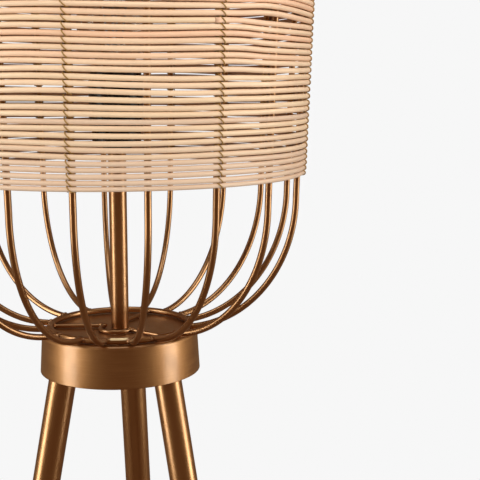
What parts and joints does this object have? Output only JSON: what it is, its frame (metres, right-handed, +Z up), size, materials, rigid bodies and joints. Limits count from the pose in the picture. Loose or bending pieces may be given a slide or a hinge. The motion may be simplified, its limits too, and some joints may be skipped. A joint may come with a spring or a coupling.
{
  "type": "tripod floor lamp",
  "caption": "Floor lamp: drum shade of stacked round canes on a bowl of bent wires, centre stem, spun collar and three splayed tube legs.",
  "frame": {"origin": "on the floor, in the middle of the lamp's bounding box; the lamp's own axis is the upright line x = 0, y = -38.6 mm", "axes": "+Z up; +Y towards leg 1, the leg that carries the lead; +X to the right when leg 1 is the far one"},
  "size_m": [0.4192, 0.403, 1.4],
  "materials": {
    "brushed_brass": "satin, brushed, antique brass coating on steel",
    "rattan": "natural peeled cane, matt",
    "black_plastic": "gloss",
    "ceramic": "matt",
    "nickel": "bright",
    "plain_steel": "zinc plated",
    "black_rubber": "matt",
    "clear_glass": "clear",
    "filament": "matt",
    "lead_sheath": "matt"
  },
  "bodies": {
    "stand": {"leg_1": "brushed_brass", "leg_foot_1": "black_rubber", "leg_insert_1": "plain_steel", "leg_stud_1": "plain_steel", "leg_socket_1": "plain_steel", "leg_2": "brushed_brass", "leg_foot_2": "black_rubber", "leg_insert_2": "plain_steel", "leg_stud_2": "plain_steel", "leg_socket_2": "plain_steel", "leg_3": "brushed_brass", "leg_foot_3": "black_rubber", "leg_insert_3": "plain_steel", "leg_stud_3": "plain_steel", "leg_socket_3": "plain_steel", "cable_grommet": "black_rubber", "collar_shell": "brushed_brass", "leg_plate": "plain_steel", "stem_washer": "plain_steel", "stem_nut": "plain_steel", "stem_tube": "brushed_brass", "stem_nipple": "plain_steel", "holder_nipple": "plain_steel", "holder_cap": "black_plastic", "holder_skirt": "black_plastic", "contact_block": "ceramic", "contact_shell": "nickel", "centre_contact": "nickel", "bottom_hoop": "brushed_brass", "hub_ring": "brushed_brass", "spoke_1": "brushed_brass", "spoke_2": "brushed_brass", "spoke_3": "brushed_brass", "cage_wire_01": "brushed_brass", "cage_wire_02": "brushed_brass", "cage_wire_03": "brushed_brass", "cage_wire_04": "brushed_brass", "cage_wire_05": "brushed_brass", "cage_wire_06": "brushed_brass", "cage_wire_07": "brushed_brass", "cage_wire_08": "brushed_brass", "cage_wire_09": "brushed_brass", "cage_wire_10": "brushed_brass", "cage_wire_11": "brushed_brass", "cage_wire_12": "brushed_brass", "cage_wire_13": "brushed_brass", "cage_wire_14": "brushed_brass", "cage_wire_15": "brushed_brass", "cage_wire_16": "brushed_brass", "top_hoop": "brushed_brass", "rattan_shade": "rattan", "inner_lead": "lead_sheath"},
    "bulb_end": {"bulb_tip": "nickel"},
    "bulb": {"bulb_cap": "nickel", "bulb_glass": "clear_glass", "bulb_mount": "clear_glass", "bulb_filament": "filament"}
  },
  "joints": [
    {"name": "bulb_rise", "type": "slide", "parent": "stand", "child": "bulb_end", "axis": [0, 0, 1], "range_m": [0, 0.0109]},
    {"name": "bulb_turn", "type": "hinge", "parent": "bulb_end", "child": "bulb", "pos_m": [0, -0.03862, 1.1418], "axis": [0, 0, 1], "range_deg": [0, 1080]}
  ],
  "couplings": [
    {"joint": "bulb_rise", "follows": "bulb_turn", "m_per_rad": 0.00057826}
  ]
}
